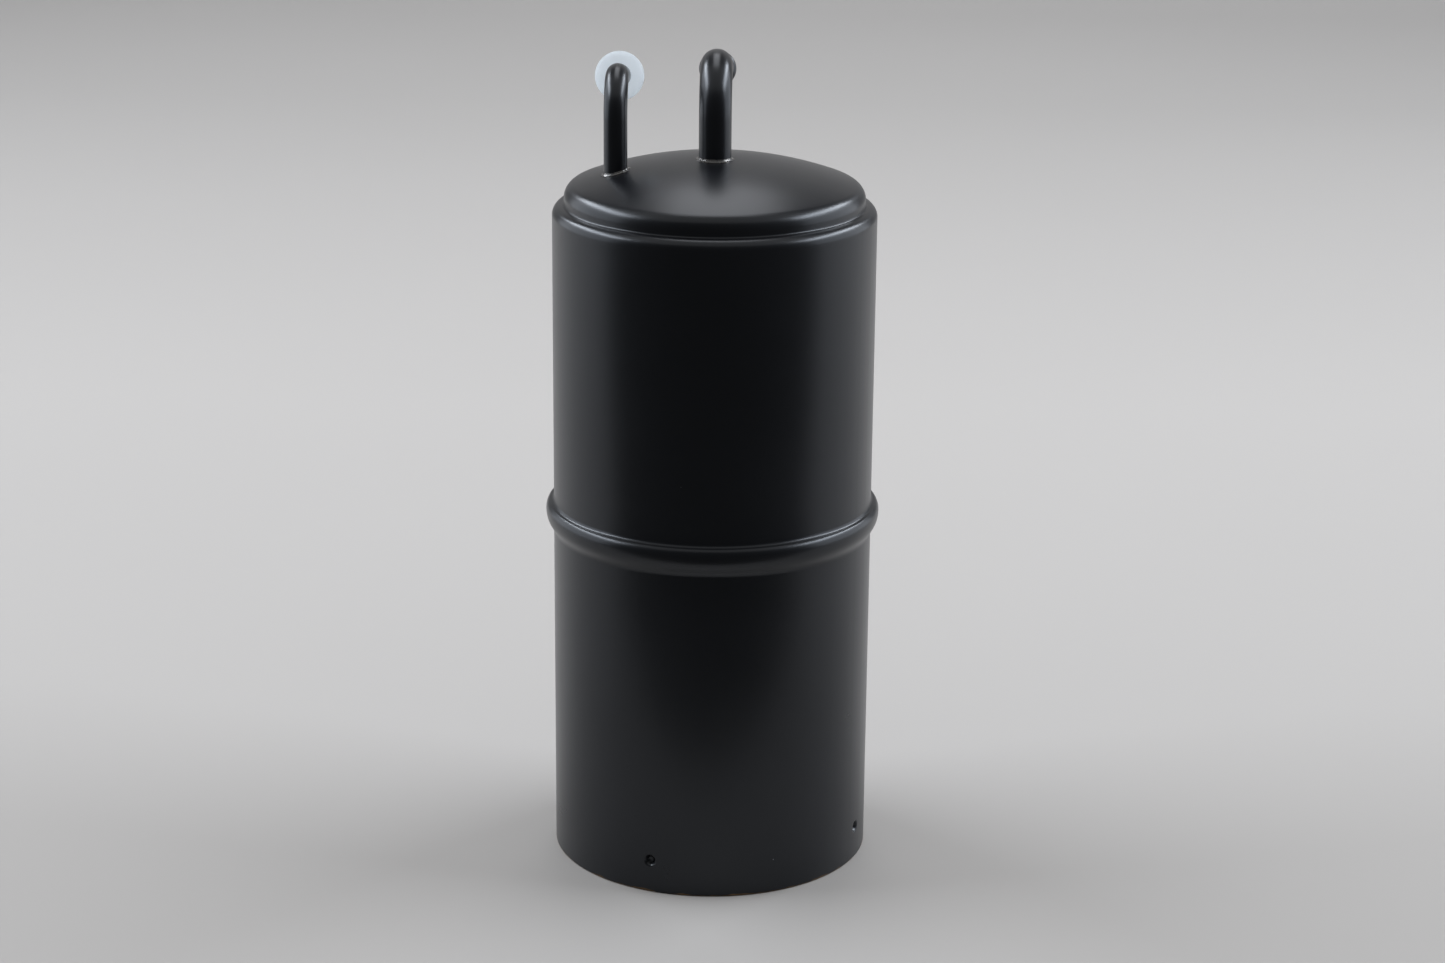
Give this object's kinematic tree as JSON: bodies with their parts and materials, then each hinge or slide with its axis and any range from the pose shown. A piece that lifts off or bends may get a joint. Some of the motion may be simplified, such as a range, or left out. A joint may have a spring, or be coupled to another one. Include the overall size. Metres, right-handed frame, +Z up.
{
  "type": "hydraulic reservoir",
  "caption": "Upright domed steel oil tank with a suction tube and a plugged return tube bent back over the top, a sprung return filter and a suction strainer inside.",
  "frame": {"origin": "on the can's axis at the foot of its open skirt, where it stands", "axes": "+Z up along the can's axis; both tubes bend back towards +Y, the return tube is on the -X side"},
  "size_m": [0.0838, 0.0838, 0.2041],
  "materials": {
    "black_paint": "satin black powder coat",
    "white_plastic": "translucent white polythene",
    "plated_sheet": "zinc plated",
    "nitrile_rubber": "moulded",
    "filter_paper": "pleated paper",
    "spring_steel": "drawn wire",
    "stainless_mesh": "pierced stainless",
    "copper": "annealed copper",
    "magnet_nickel": "nickel plated"
  },
  "bodies": {
    "tank": {"tank_shell": "black_paint", "suction_pipe": "black_paint", "return_pipe": "black_paint", "suction_pipe_braze": "black_paint", "return_pipe_braze": "black_paint", "return_tray": "plated_sheet", "tray_gasket": "nitrile_rubber", "suction_grommet": "nitrile_rubber", "filter_spring": "spring_steel", "baffle_plate": "plated_sheet", "baffle_snap_ring": "spring_steel", "strainer_ferrule": "plated_sheet", "strainer_screen": "stainless_mesh", "strainer_end_cap": "plated_sheet", "bottom_plug": "black_paint", "bottom_plug_o_ring": "nitrile_rubber", "drain_plug": "plated_sheet", "drain_washer": "copper", "drain_plug_magnet": "magnet_nickel"},
    "filter_cartridge": {"filter_top_seal": "nitrile_rubber", "filter_top_cap": "plated_sheet", "filter_media": "filter_paper", "filter_core": "plated_sheet", "filter_bottom_cap": "plated_sheet", "filter_bottom_seal": "nitrile_rubber"},
    "dust_plug": {"return_dust_plug": "white_plastic"}
  },
  "joints": [
    {"name": "cartridge_bypass", "type": "slide", "parent": "tank", "child": "filter_cartridge", "axis": [0, 0, -1], "range_m": [0, 0.004], "stiffness_N_per_m": 1500, "springref_m": -0.008, "deforming": ["filter_spring"]},
    {"name": "dust_plug_pull", "type": "slide", "parent": "tank", "child": "dust_plug", "axis": [0, 0.9781, -0.2079], "range_m": [0, 0.02]}
  ]
}
